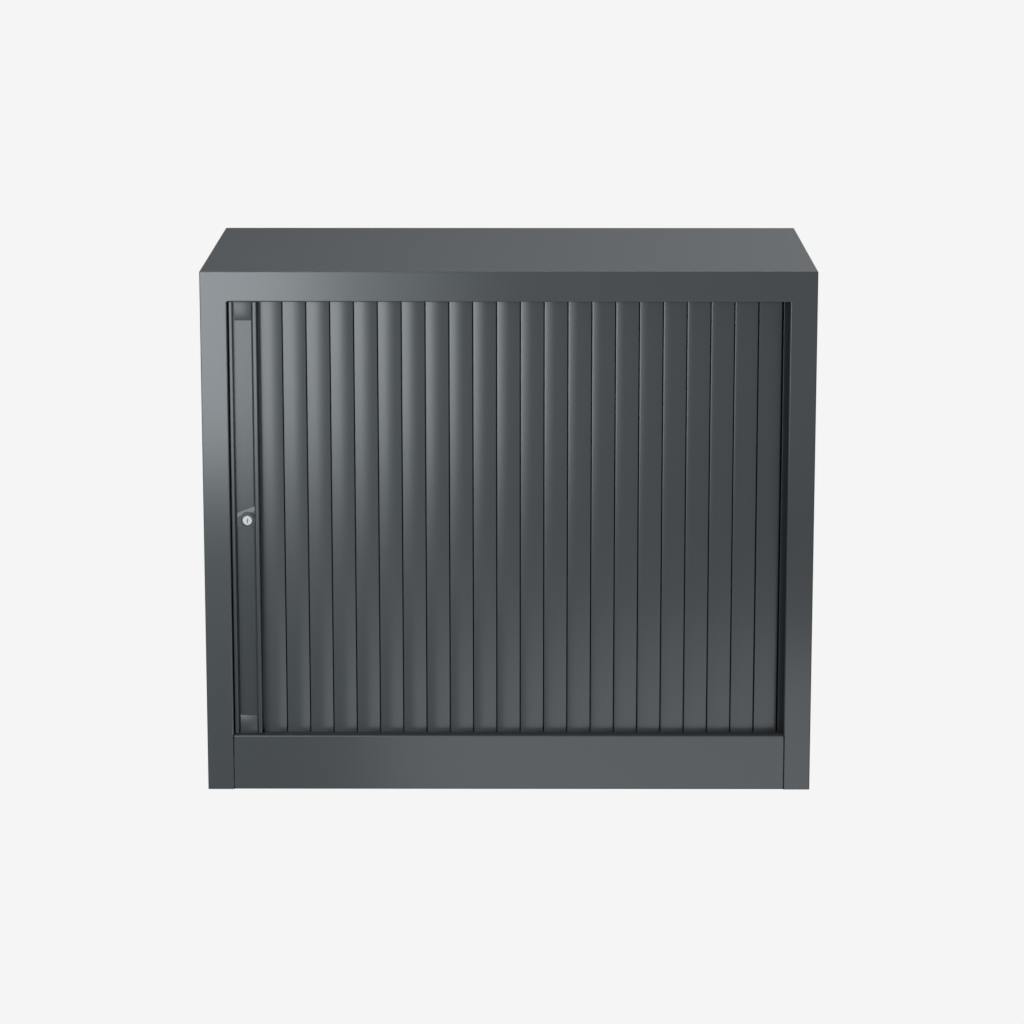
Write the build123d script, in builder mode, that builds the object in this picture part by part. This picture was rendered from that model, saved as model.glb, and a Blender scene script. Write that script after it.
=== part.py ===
from build123d import *
import math
import os

# A free-standing steel storage cupboard with one roll front: a curtain of interlocking upright
# slats that slides to the right, round the corner and behind the inner back.
# Millimetres. X to the right, Y to the rear, Z up; the origin is the centre of the footprint.

# Carcass
WIDTH = 800.0
DEPTH = 430.0
HEIGHT = 695.0
SHEET = 1.0
BEND = 1.6
STILE = 35.0
RAIL = 40.0
PLINTH = 74.0
JAMB_RETURN = 17.0
REAR_FOLD = 20.0
TOP_LIP = 3.0
FIT = 0.2
REAR_RAIL = 60.0
RAIL_RETURN = 16.0
PLINTH_FOOT = 12.0
PLINTH_GAP = 0.6
REAR_FOOT = 14.0
TRAY_FLANGE = 20.0
DECK_GAP = 0.5
LINER_JOIN = 40.0

# Curtain of slats, hinge to hinge, and the path it runs on
SLAT_PITCH = 31.0
SLAT_COUNT = 24
FIRST_HINGE_X = -326.0
CURTAIN_SETBACK = 24.5
CURTAIN_INSET = 9.5
CORNER_RADIUS = 50.0
BACK_INSET = 12.0
TRACK_END_X = 30.0
SLAT_CROWN = 4.7
SLAT_EDGE = 3.5
SLAT_SKIN = 1.1
BEAD_RADIUS = 1.15
CLAW_BORE = 1.3
CLAW_RADIUS = 2.3
NECK = 0.9
SKIN_LEFT = 0.9
SKIN_RIGHT = SLAT_PITCH - 0.7
RIB_LEFT = 3.2
RIB_RIGHT = SLAT_PITCH - 2.8
BACK_WALL = 2.2
CLAW_MOUTH = (-24.0, 60.0)

# Guide tracks above and below the curtain
GROOVE = 10.8
TRACK_WALL = 1.6
GROOVE_DEPTH = 6.0
TRACK_HEIGHT = 8.0
SLAT_ENTRY = 4.5

# Handle profile at the curtain's leading edge
HANDLE_WIDTH = 37.5
HANDLE_FRONT = 6.0
HANDLE_FLOOR = 14.0
HANDLE_BACK = 28.0
HANDLE_END_GAP = 1.5
HANDLE_RIGHT = 36.2
HANDLE_WALL = 1.5
GUTTER = (4.9, 7.0)
GUTTER_DEPTH = 2.5
CHANNEL_RIGHT = 30.2
CAP_LENGTH = 25.5
GLIDE_LENGTH = 22.0
GLIDE_WIDTH = 9.6
PILLOW_DEPTH = 6.2
PILLOW_DOME = 60.0
PILLOW_EDGE = 2.5
FLOOR_FILLET = 3.0
FILLET_RELIEF = 3.2

# Cam lock at mid-height of the handle
LOCK_FROM_HINGE = 17.0
PLUG_RADIUS = 7.0
COLLAR_RADIUS = 9.6
COLLAR_RIM = 0.8
COLLAR_RECESS = 2.4
BLOCK_DEPTH = 3.5
BEVEL_HEIGHT = 5.0
BEVEL_DEPTH = 1.8
BARREL_RADIUS = 8.0
RUNNING_FIT = 0.06
CAM_FRONT = 21.0
CAM_THICKNESS = 2.0
ARM_REACH = 30.0
ARM_RIGHT = 5.0
BARB_INNER = 25.5
BARB_DROP = 10.0
TAIL = 7.0
TAIL_START = 19.7
TAIL_END = 23.1
KEYWAY = 0.9
SCREW_HEAD = 1.8

# Shelf and its slotted uprights
UPRIGHT_WIDTH = 30.0
UPRIGHT_DEPTH = 10.0
UPRIGHT_Y = 125.0
SLOT_PITCH = 25.0
SLOT_HEIGHT = 10.0
SLOT_WIDTH = 6.0
SHELF_LIP = 25.0
SHELF_TURN = 10.0
SHELF_END_GAP = 2.5
CLIP_SHEET = 1.5
CLIP_SIZE = 18.0

# Levelling feet
FOOT_X = 345.0
FOOT_Y = 155.0
STUD_RADIUS = 5.0
PAD_RADIUS = 16.0
ADJUSTER_HOLE = 6.0
NUT_HEIGHT = 8.0
SOCKET_FLOOR = 3.0
SOCKET_TOP = 14.0

# Places worked out from the sizes above
FRONT = -DEPTH / 2
BACK = DEPTH / 2
OPENING_TOP = HEIGHT - RAIL
OPENING_MIDDLE = (PLINTH + OPENING_TOP) / 2
JAMB_X = WIDTH / 2 - STILE
CURTAIN_Y = FRONT + CURTAIN_SETBACK
CURTAIN_X = WIDTH / 2 - CURTAIN_INSET
CURTAIN_BACK_Y = BACK - BACK_INSET
CORNER_X = CURTAIN_X - CORNER_RADIUS
CORNER_Y = CURTAIN_Y + CORNER_RADIUS
TRACK_HALF = GROOVE / 2 + TRACK_WALL
DECK_RIGHT = CURTAIN_X - TRACK_HALF - DECK_GAP
DECK_FRONT = CURTAIN_Y + TRACK_HALF + DECK_GAP
DECK_BACK = CURTAIN_BACK_Y - TRACK_HALF - DECK_GAP
DECK_CORNER = CORNER_RADIUS - TRACK_HALF - DECK_GAP
LINER_X = DECK_RIGHT - 1.0
LINER_BACK_Y = DECK_BACK - 1.0
HANDLE_LEFT = FIRST_HINGE_X - HANDLE_WIDTH
HANDLE_BOTTOM = PLINTH + HANDLE_END_GAP
HANDLE_TOP = OPENING_TOP - HANDLE_END_GAP
LOCK_X = FIRST_HINGE_X - LOCK_FROM_HINGE
LOCK_Z = OPENING_MIDDLE
COLLAR_BASE = HANDLE_FLOOR - FLOOR_FILLET
CHANNEL_FIT = (GUTTER[1] + FIT, CHANNEL_RIGHT - FIT)
SHELF_TOP = OPENING_MIDDLE + 10.5
DECK_UNDERSIDE = PLINTH - SHEET
STUD_TOP = DECK_UNDERSIDE - 1

os.makedirs("parts", exist_ok=True)


def save(built, name):
    """Labels a finished sub-part and writes its file."""
    built.part.label = name
    export_step(built.part, f"parts/{name}.step")


def folded_strip(points, bend, thickness, side):
    """The section of a strip of sheet folded along the given surface line."""
    with BuildSketch(mode=Mode.PRIVATE) as section:
        with BuildLine():
            FilletPolyline(*points, radius=bend)
            offset(amount=thickness, side=side)
        make_face()
    return section.sketch


# ---------------------------------------------------------------- welded carcass
# Side panels: one sheet each, folded into the front stile and a rear fold. Along the opening the
# stile turns in again as the jamb; above it the stile's cut edge butts the rail.
for side_name, hand, inside in (("left", -1, Side.RIGHT), ("right", 1, Side.LEFT)):
    side_points = [
        (hand * JAMB_X, FRONT + JAMB_RETURN),
        (hand * JAMB_X, FRONT),
        (hand * WIDTH / 2, FRONT),
        (hand * WIDTH / 2, BACK),
        (hand * (WIDTH / 2 - REAR_FOLD), BACK),
    ]
    with BuildPart() as side_panel:
        with BuildSketch():
            add(folded_strip(side_points, BEND, SHEET, inside))
        extrude(amount=OPENING_TOP)
        with BuildSketch(Plane.XY.offset(OPENING_TOP)):
            add(folded_strip(side_points[1:], BEND, SHEET, inside))
        extrude(amount=HEIGHT - TOP_LIP - OPENING_TOP)
    save(side_panel, f"side_panel_{side_name}")

# Top panel: a shallow pan over both sides, with the front rail folded down between the stiles.
rail_points = [
    (FRONT + RAIL_RETURN, OPENING_TOP),
    (FRONT, OPENING_TOP),
    (FRONT, HEIGHT - TOP_LIP + 1),
]
with BuildPart() as top_panel:
    with BuildSketch(Plane.XY.offset(HEIGHT - TOP_LIP)):
        Rectangle(WIDTH, DEPTH)
    extrude(amount=TOP_LIP)
    fillet(top_panel.edges().filter_by(Axis.Z), BEND)
    fillet(top_panel.faces().sort_by(Axis.Z)[-1].edges(), BEND)
    offset(amount=-SHEET, openings=top_panel.faces().sort_by(Axis.Z)[0])
    with BuildSketch(Plane.YZ.offset(-JAMB_X)):
        add(folded_strip(rail_points, BEND, SHEET, Side.RIGHT))
    extrude(amount=2 * JAMB_X)
save(top_panel, "top_panel")

# Plinth: front kick panel between the stiles, folded back at the top and the bottom.
plinth_points = [
    (FRONT + RAIL_RETURN, PLINTH),
    (FRONT, PLINTH),
    (FRONT, FIT),
    (FRONT + PLINTH_FOOT, FIT),
]
with BuildPart() as plinth:
    with BuildSketch(Plane.YZ.offset(PLINTH_GAP - JAMB_X)):
        add(folded_strip(plinth_points, BEND, SHEET, Side.LEFT))
    extrude(amount=2 * (JAMB_X - PLINTH_GAP))
save(plinth, "plinth")

# Back panel inside the rear folds, and the rail below it.
back_width = WIDTH - 2 * BEND - 2 * FIT
with BuildPart() as back_panel:
    with BuildSketch(Plane.XZ.offset(-(BACK - SHEET))):
        with Locations((0, (REAR_RAIL + HEIGHT - TOP_LIP) / 2)):
            Rectangle(back_width, HEIGHT - TOP_LIP - REAR_RAIL)
    extrude(amount=SHEET)
save(back_panel, "back_panel")

rear_rail_points = [(BACK - SHEET, REAR_RAIL - FIT), (BACK - SHEET, FIT), (BACK - REAR_FOOT, FIT)]
with BuildPart() as rear_rail:
    with BuildSketch(Plane.YZ.offset(-back_width / 2)):
        add(folded_strip(rear_rail_points, BEND, SHEET, Side.RIGHT))
    extrude(amount=back_width)
save(rear_rail, "rear_rail")

# Base and ceiling: a pressed tray with a raised deck inside the curtain's path. The lower ledge
# round the deck carries the guide track, which ends level with the deck.
tray_width = WIDTH - 2 * SHEET - 2 * FIT
tray_front = FRONT + SHEET + 2 * FIT
tray_back = BACK - 2 * SHEET - FIT
notch_back = FRONT + JAMB_RETURN + FIT
deck_left = -tray_width / 2
tray_bottom = PLINTH - TRACK_HEIGHT - TRAY_FLANGE
with BuildPart() as base_panel:
    for inset, mode in ((0, Mode.ADD), (SHEET, Mode.SUBTRACT)):
        with BuildSketch(Plane.XY.offset(tray_bottom)):
            with Locations((0, (tray_front + tray_back) / 2)):
                Rectangle(tray_width - 2 * inset, tray_back - tray_front - 2 * inset)
            # notched round the stiles' jambs
            with Locations((-WIDTH / 2, tray_front), (WIDTH / 2, tray_front)):
                Rectangle(
                    2 * (STILE + FIT + inset),
                    2 * (notch_back - tray_front + inset),
                    mode=Mode.SUBTRACT,
                )
        extrude(amount=TRAY_FLANGE - inset, mode=mode)
        with BuildSketch(Plane.XY.offset(PLINTH - TRACK_HEIGHT - inset)) as deck_plan:
            with Locations(((deck_left + DECK_RIGHT) / 2, (DECK_FRONT + DECK_BACK) / 2)):
                Rectangle(DECK_RIGHT - deck_left - 2 * inset, DECK_BACK - DECK_FRONT - 2 * inset)
            fillet(deck_plan.vertices().group_by(Axis.X)[-1], DECK_CORNER - inset)
        extrude(amount=TRACK_HEIGHT, mode=mode)
with BuildPart() as ceiling_panel:
    add(base_panel.part.mirror(Plane.XY.offset(OPENING_MIDDLE)))
save(ceiling_panel, "ceiling_panel")

foot_places = [(x, y) for x in (-FOOT_X, FOOT_X) for y in (-FOOT_Y, FOOT_Y)]
with BuildPart() as drilled_base:
    add(base_panel.part)
    with Locations(*[(x, y, PLINTH) for x, y in foot_places]):
        Hole(ADJUSTER_HOLE, depth=2 * SHEET)
save(drilled_base, "base_panel")

# Inner lining that hides the rolled-up curtain: round the right side, then across the back.
liner_bottom = PLINTH + FIT
liner_height = OPENING_TOP - PLINTH - 2 * FIT
liner_points = [
    (CORNER_X - 6, DECK_FRONT + 1),
    (LINER_X + SHEET, DECK_FRONT + 1),
    (LINER_X + SHEET, LINER_BACK_Y + SHEET),
    (CORNER_X - LINER_JOIN, LINER_BACK_Y + SHEET),
]
with BuildPart() as curtain_liner:
    with BuildSketch(Plane.XY.offset(liner_bottom)):
        add(folded_strip(liner_points, DECK_CORNER - 1, SHEET, Side.LEFT))
    extrude(amount=liner_height)
save(curtain_liner, "curtain_liner")

back_liner_left = SHEET + FIT - WIDTH / 2
back_liner_right = CORNER_X - LINER_JOIN - FIT
with BuildPart() as back_liner:
    with BuildSketch(Plane.XY.offset(liner_bottom)):
        with Locations(((back_liner_left + back_liner_right) / 2, LINER_BACK_Y + SHEET / 2)):
            Rectangle(back_liner_right - back_liner_left, SHEET)
    extrude(amount=liner_height)
save(back_liner, "back_liner")


# ---------------------------------------------------------------- guide tracks
def track_band(width, left_end, back_end):
    """The plan of a band along the curtain's path: front, corner, side, corner, back."""
    outer = [
        (left_end, CURTAIN_Y - width / 2),
        (CURTAIN_X + width / 2, CURTAIN_Y - width / 2),
        (CURTAIN_X + width / 2, CURTAIN_BACK_Y + width / 2),
        (back_end, CURTAIN_BACK_Y + width / 2),
    ]
    return folded_strip(outer, CORNER_RADIUS + width / 2, width, Side.LEFT)


track_left = SHEET + 1 - WIDTH / 2
with BuildPart() as lower_track:
    with BuildSketch(Plane.XY.offset(PLINTH - TRACK_HEIGHT)):
        add(track_band(2 * TRACK_HALF, track_left, TRACK_END_X))
    extrude(amount=TRACK_HEIGHT)
    with BuildSketch(Plane.XY.offset(PLINTH - GROOVE_DEPTH)):
        add(track_band(GROOVE, track_left + TRACK_WALL, TRACK_END_X + TRACK_WALL))
    extrude(amount=GROOVE_DEPTH, mode=Mode.SUBTRACT)
save(lower_track, "lower_track")
with BuildPart() as upper_track:
    add(lower_track.part.mirror(Plane.XY.offset(OPENING_MIDDLE)))
save(upper_track, "upper_track")


# ---------------------------------------------------------------- curtain
def path_point(run):
    """A point of the curtain's path, run millimetres on from the handle's hinge."""
    straight = CORNER_X - FIRST_HINGE_X
    if run <= straight:
        return Vector(FIRST_HINGE_X + run, CURTAIN_Y)
    turn = (run - straight) / CORNER_RADIUS
    if turn <= math.pi / 2:
        x = CORNER_X + CORNER_RADIUS * math.sin(turn)
        return Vector(x, CORNER_Y - CORNER_RADIUS * math.cos(turn))
    return Vector(CURTAIN_X, CORNER_Y + CORNER_RADIUS * (turn - math.pi / 2))


def next_hinge(run):
    """How far along the path the next hinge lies: one slat is a straight chord of it."""
    start = path_point(run)
    low, high = run, run + 1.3 * SLAT_PITCH
    for _ in range(40):
        middle = (low + high) / 2
        if (path_point(middle) - start).length < SLAT_PITCH:
            low = middle
        else:
            high = middle
    return low


def claw(x, y):
    """The hooked edge that holds the next slat's bead and lets it turn inwards by 36 degrees."""
    with BuildSketch(mode=Mode.PRIVATE) as hook:
        with Locations((x, y)):
            Circle(CLAW_RADIUS)
            Circle(CLAW_BORE, mode=Mode.SUBTRACT)
        with BuildLine():
            centre = Vector(x, y)
            low_lip, high_lip = (
                centre + Vector(2 * CLAW_RADIUS, 0).rotate(Axis.Z, angle) for angle in CLAW_MOUTH
            )
            Polyline(centre, low_lip, high_lip, centre)
        make_face(mode=Mode.SUBTRACT)
    return hook.sketch


with BuildSketch() as slat_section:
    # crowned front skin
    with BuildLine():
        crown = ThreePointArc(
            (SKIN_LEFT, -SLAT_EDGE), (SLAT_PITCH / 2, -SLAT_CROWN), (SKIN_RIGHT, -SLAT_EDGE)
        )
        Polyline(
            crown @ 1,
            (SKIN_RIGHT, SLAT_SKIN - SLAT_EDGE),
            (SKIN_LEFT, SLAT_SKIN - SLAT_EDGE),
            crown @ 0,
        )
    make_face()
    # hollow box behind it
    with Locations(((RIB_LEFT + RIB_RIGHT) / 2, (BACK_WALL - SLAT_EDGE) / 2)):
        Rectangle(RIB_RIGHT - RIB_LEFT, BACK_WALL + SLAT_EDGE)
    with Locations(((RIB_LEFT + RIB_RIGHT) / 2, (BACK_WALL - SLAT_EDGE) / 2)):
        Rectangle(
            RIB_RIGHT - RIB_LEFT - 2 * NECK, BACK_WALL + SLAT_EDGE - 2 * SLAT_SKIN, mode=Mode.SUBTRACT
        )
    # bead on its neck at the left hinge
    Circle(BEAD_RADIUS)
    with Locations((RIB_LEFT / 2, 0)):
        Rectangle(RIB_LEFT, NECK)
    # web and claw at the right hinge
    with Locations(((RIB_RIGHT + SLAT_PITCH) / 2, -(SLAT_EDGE - SLAT_SKIN + CLAW_BORE) / 2)):
        Rectangle(SLAT_PITCH - RIB_RIGHT, SLAT_EDGE - SLAT_SKIN - CLAW_BORE)
    add(claw(SLAT_PITCH, 0))

slat_bottom = PLINTH - SLAT_ENTRY
slat_length = OPENING_TOP - PLINTH + 2 * SLAT_ENTRY
run = 0.0
for number in range(1, SLAT_COUNT + 1):
    hinge = path_point(run)
    run = next_hinge(run)
    chord = path_point(run) - hinge
    slat_plane = Plane(
        origin=(hinge.X, hinge.Y, slat_bottom), x_dir=(chord.X, chord.Y, 0), z_dir=(0, 0, 1)
    )
    with BuildPart() as slat:
        with BuildSketch(slat_plane):
            add(slat_section.sketch)
        extrude(amount=slat_length)
    save(slat, f"slat_{number:02d}")


# ---------------------------------------------------------------- handle
# Extruded profile with two raised ridges, a finger channel between them and a closed chamber
# behind it. Its right edge ends in the same claw as a slat.
def at(across, behind):
    """A plan point given from the handle's left edge and behind the cabinet's front plane."""
    return (HANDLE_LEFT + across, FRONT + behind)


with BuildSketch() as handle_section:
    with BuildLine():
        Polyline(
            at(0, HANDLE_BACK),
            at(0, HANDLE_FRONT),
            at(GUTTER[0], HANDLE_FRONT),
            at(GUTTER[0], HANDLE_FLOOR + GUTTER_DEPTH),
            at(GUTTER[1], HANDLE_FLOOR + GUTTER_DEPTH),
            at(GUTTER[1], HANDLE_FLOOR),
            at(CHANNEL_RIGHT, HANDLE_FLOOR),
            at(CHANNEL_RIGHT + 0.8, HANDLE_FRONT),
            at(HANDLE_RIGHT, HANDLE_FRONT),
            at(HANDLE_RIGHT, HANDLE_BACK - 4),
            at(HANDLE_RIGHT - 1.6, HANDLE_BACK),
            at(0, HANDLE_BACK),
        )
    make_face()
    ridge_corners = handle_section.vertices().group_by(Axis.Y)[0]
    fillet(ridge_corners, 1.2)
    floor_corner = handle_section.vertices().sort_by_distance(at(CHANNEL_RIGHT, HANDLE_FLOOR))[0]
    fillet(floor_corner, FLOOR_FILLET)
    with BuildLine():
        Polyline(
            at(HANDLE_WALL, HANDLE_BACK - HANDLE_WALL),
            at(HANDLE_WALL, HANDLE_FLOOR + GUTTER_DEPTH + HANDLE_WALL),
            at(GUTTER[1] + HANDLE_WALL, HANDLE_FLOOR + GUTTER_DEPTH + HANDLE_WALL),
            at(GUTTER[1] + HANDLE_WALL, HANDLE_FLOOR + HANDLE_WALL),
            at(HANDLE_RIGHT - 1.8, HANDLE_FLOOR + HANDLE_WALL),
            at(HANDLE_RIGHT - 1.8, HANDLE_BACK - 7),
            at(HANDLE_RIGHT - 2.8, HANDLE_BACK - HANDLE_WALL),
            at(HANDLE_WALL, HANDLE_BACK - HANDLE_WALL),
        )
    make_face(mode=Mode.SUBTRACT)
    with Locations((FIRST_HINGE_X, CURTAIN_Y)):
        Circle(CLAW_RADIUS, mode=Mode.SUBTRACT)
    add(claw(FIRST_HINGE_X, CURTAIN_Y))

with BuildPart() as handle_profile:
    with BuildSketch(Plane.XY.offset(HANDLE_BOTTOM)):
        add(handle_section.sketch)
    extrude(amount=HANDLE_TOP - HANDLE_BOTTOM)
    # bore for the lock's barrel through the channel floor
    with BuildSketch(Plane.XZ.offset(-(FRONT + HANDLE_FLOOR - 2))):
        with Locations((LOCK_X, LOCK_Z)):
            Circle(BARREL_RADIUS + FIT)
    extrude(amount=-5, mode=Mode.SUBTRACT)
    # slot in the left wall that lets the hooked cam swing out
    with BuildSketch(Plane.YZ.offset(HANDLE_LEFT - 1)):
        with Locations((FRONT + CAM_FRONT + CAM_THICKNESS / 2, LOCK_Z + 10.5)):
            Rectangle(CAM_THICKNESS + 2, 33)
    extrude(amount=4, mode=Mode.SUBTRACT)
save(handle_profile, "handle_profile")

# Moulded end caps: a domed pillow that closes the finger channel, a plug in the chamber and a
# glide in the track.
cap_bottom = PLINTH + FIT
pillow_middle = (CHANNEL_FIT[0] + CHANNEL_FIT[1]) / 2
pillow_front = HANDLE_FLOOR - FIT - PILLOW_DEPTH
with BuildPart() as handle_cap_lower:
    with BuildSketch(Plane.XY.offset(cap_bottom)):
        with Locations(at(pillow_middle, pillow_front + PILLOW_DEPTH / 2)):
            Rectangle(CHANNEL_FIT[1] - CHANNEL_FIT[0], PILLOW_DEPTH)
    extrude(amount=CAP_LENGTH)
    floor_side = handle_cap_lower.edges().filter_by(Axis.Z).group_by(Axis.X)[-1].sort_by(Axis.Y)[-1]
    fillet(floor_side, FILLET_RELIEF)
    fillet(handle_cap_lower.faces().sort_by(Axis.Y)[0].edges(), PILLOW_EDGE)
    with Locations((*at(pillow_middle, pillow_front + PILLOW_DOME), cap_bottom + CAP_LENGTH / 2)):
        Sphere(PILLOW_DOME, mode=Mode.INTERSECT)
    # end plate over the profile's cut end
    with BuildSketch(Plane.XY.offset(cap_bottom)):
        with Locations(at(HANDLE_RIGHT / 2 - 0.6, (HANDLE_FLOOR + HANDLE_BACK) / 2 - 1.5)):
            Rectangle(HANDLE_RIGHT - 2.4, HANDLE_BACK - HANDLE_FLOOR + 1)
    extrude(amount=HANDLE_END_GAP - FIT)
    # plug in the chamber
    with BuildSketch(Plane.XY.offset(cap_bottom)):
        with Locations(at(21, (HANDLE_FLOOR + HANDLE_BACK) / 2)):
            Rectangle(23, HANDLE_BACK - HANDLE_FLOOR - 4.2)
    extrude(amount=CAP_LENGTH - 6)
    # glide in the groove
    with BuildSketch(Plane.XY.offset(PLINTH - SLAT_ENTRY)):
        with Locations(at(22, CURTAIN_SETBACK)):
            SlotOverall(GLIDE_LENGTH, GLIDE_WIDTH)
    extrude(amount=SLAT_ENTRY + HANDLE_END_GAP)
save(handle_cap_lower, "handle_cap_lower")
with BuildPart() as handle_cap_upper:
    add(handle_cap_lower.part.mirror(Plane.XY.offset(OPENING_MIDDLE)))
save(handle_cap_upper, "handle_cap_upper")

# ---------------------------------------------------------------- lock
# Housing: a wedge-topped block in the finger channel with a round collar and a barrel.
block_left, block_right = (HANDLE_LEFT + side - LOCK_X for side in CHANNEL_FIT)
front_view = Plane(origin=(LOCK_X, FRONT, LOCK_Z), x_dir=(1, 0, 0), z_dir=(0, -1, 0))
with BuildPart() as lock_housing:
    with BuildSketch(front_view.offset(-HANDLE_FLOOR)) as block_outline:
        with BuildLine():
            Polyline(
                (block_left, -9),
                (block_right, -9),
                (block_right, 17.6),
                (block_left, 9),
                (block_left, -9),
            )
        make_face()
    extrude(amount=BLOCK_DEPTH)
    floor_side = lock_housing.edges().filter_by(Axis.Z).group_by(Axis.X)[-1].sort_by(Axis.Y)[-1]
    fillet(floor_side, FILLET_RELIEF)
    block_face = lock_housing.faces().sort_by(Axis.Y)[0]
    block_top = block_face.edges().sort_by(Axis.Z)[-1]
    chamfer(block_top, BEVEL_HEIGHT, BEVEL_DEPTH, reference=block_face)
    with BuildSketch(front_view.offset(-COLLAR_BASE)):
        Circle(COLLAR_RADIUS)
    extrude(amount=COLLAR_BASE - HANDLE_FRONT - 1)
    fillet(lock_housing.faces().sort_by(Axis.Y)[0].edges(), 0.3)
    # parting line round the collar
    with BuildSketch(front_view.offset(BLOCK_DEPTH - HANDLE_FLOOR)):
        Circle(COLLAR_RADIUS + COLLAR_RIM)
        Circle(COLLAR_RADIUS, mode=Mode.SUBTRACT)
    extrude(amount=-COLLAR_RIM, mode=Mode.SUBTRACT)
    with BuildSketch(front_view.offset(-HANDLE_FLOOR)):
        Circle(BARREL_RADIUS)
    extrude(amount=-5.5)
    # recessed ring round the plug, then the plug's bore
    with BuildSketch(front_view.offset(-HANDLE_FRONT - 1)):
        Circle(COLLAR_RADIUS - COLLAR_RIM)
        Circle(PLUG_RADIUS + 0.5, mode=Mode.SUBTRACT)
    extrude(amount=-COLLAR_RECESS, mode=Mode.SUBTRACT)
    with BuildSketch(front_view.offset(-HANDLE_FRONT)):
        Circle(PLUG_RADIUS + RUNNING_FIT)
    extrude(amount=-(HANDLE_FLOOR + 6), mode=Mode.SUBTRACT)
save(lock_housing, "lock_housing")

# Plug: turned and plated, with a key slot in front, a square tail and a tapped end.
with BuildPart() as lock_plug:
    with BuildSketch(front_view.offset(-TAIL_START)):
        Circle(PLUG_RADIUS)
    extrude(amount=TAIL_START - HANDLE_FRONT + 0.4)
    chamfer(lock_plug.faces().sort_by(Axis.Y)[0].edges(), 1.0)
    with BuildSketch(front_view.offset(-TAIL_END)):
        Rectangle(TAIL, TAIL)
    extrude(amount=TAIL_END - TAIL_START)
    with BuildSketch(front_view.offset(-HANDLE_FRONT + 0.4)):
        Rectangle(KEYWAY, 6)
    extrude(amount=-9, mode=Mode.SUBTRACT)
    with BuildSketch(front_view.offset(-TAIL_END)):
        Circle(2.0)
    extrude(amount=6, mode=Mode.SUBTRACT)
save(lock_plug, "lock_plug")

# Hooked cam, drawn unlocked: the arm points up inside the chamber. A quarter turn swings its
# barb out to the left and down behind the keep.
with BuildPart() as lock_cam:
    with BuildSketch(front_view.offset(-(CAM_FRONT + CAM_THICKNESS))):
        with BuildLine():
            Polyline(
                (-4.0, 0),
                (-4.0, BARB_INNER),
                (-BARB_DROP, BARB_INNER),
                (-BARB_DROP, ARM_REACH),
                (ARM_RIGHT, ARM_REACH),
                (ARM_RIGHT, 0),
                (-4.0, 0),
            )
        make_face()
        Circle(6.5)
        Rectangle(TAIL + 2 * FIT, TAIL + 2 * FIT, mode=Mode.SUBTRACT)
    extrude(amount=CAM_THICKNESS)
    arm_tip = (LOCK_X + ARM_RIGHT, CURTAIN_Y, LOCK_Z + ARM_REACH)
    arm_corner = lock_cam.edges().filter_by(Axis.Y).sort_by_distance(arm_tip)[0]
    fillet(arm_corner, 4.0)
save(lock_cam, "lock_cam")

with BuildPart() as cam_screw:
    with BuildSketch(front_view.offset(-(TAIL_END + SCREW_HEAD))):
        Circle(4.6)
    extrude(amount=SCREW_HEAD)
    fillet(cam_screw.faces().sort_by(Axis.Y)[-1].edges(), 0.8)
    with BuildSketch(front_view.offset(-TAIL_END)):
        Circle(1.95)
    extrude(amount=5.5)
    with BuildSketch(front_view.offset(-(TAIL_END + SCREW_HEAD))):
        Rectangle(1.0, 6.0)
        Rectangle(6.0, 1.0)
    extrude(amount=1.0, mode=Mode.SUBTRACT)
save(cam_screw, "cam_screw")

# Keep: an angle welded behind the left stile, with the slot that the barb drops behind.
keep_face = -JAMB_X - SHEET - FIT
keep_points = [
    (keep_face, FRONT + HANDLE_BACK + 1),
    (keep_face, FRONT + SHEET + FIT),
    (keep_face - 24, FRONT + SHEET + FIT),
]
with BuildPart() as lock_keep:
    with BuildSketch(Plane.XY.offset(LOCK_Z - 20)):
        add(folded_strip(keep_points, 2.0, 1.4, Side.RIGHT))
    extrude(amount=56)
    with BuildSketch(Plane.YZ.offset(keep_face - 3)):
        with Locations((FRONT + CAM_FRONT + CAM_THICKNESS / 2, LOCK_Z + 9.75)):
            Rectangle(CAM_THICKNESS + 4, 29.5)
    extrude(amount=5, mode=Mode.SUBTRACT)
save(lock_keep, "lock_keep")

# ---------------------------------------------------------------- shelf and uprights
# Slotted uprights: open channels, two on the left side panel and two on the curtain liner.
upright_height = OPENING_TOP - PLINTH - 4
slot_count = 2 * int((upright_height / 2 - SLOT_PITCH) / SLOT_PITCH) + 1
left_wall = SHEET - WIDTH / 2
wall_sides = (("left", left_wall, 1, Side.LEFT), ("right", LINER_X, -1, Side.RIGHT))
for wall_name, wall_x, inward, metal_side in wall_sides:
    for place, middle_y in (("front", -UPRIGHT_Y), ("rear", UPRIGHT_Y)):
        face_x = wall_x + inward * UPRIGHT_DEPTH
        channel_points = [
            (wall_x + inward * FIT, middle_y - UPRIGHT_WIDTH / 2),
            (face_x, middle_y - UPRIGHT_WIDTH / 2),
            (face_x, middle_y + UPRIGHT_WIDTH / 2),
            (wall_x + inward * FIT, middle_y + UPRIGHT_WIDTH / 2),
        ]
        with BuildPart() as upright:
            with BuildSketch(Plane.XY.offset(PLINTH + 2)):
                add(folded_strip(channel_points, BEND, SHEET, metal_side))
            extrude(amount=upright_height)
            with BuildSketch(Plane.YZ.offset(face_x - 3)):
                with Locations((middle_y, SHELF_TOP - 8.5)):
                    with GridLocations(0, SLOT_PITCH, 1, slot_count):
                        Rectangle(SLOT_WIDTH, SLOT_HEIGHT)
            extrude(amount=6, mode=Mode.SUBTRACT)
        save(upright, f"upright_{place}_{wall_name}")

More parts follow.
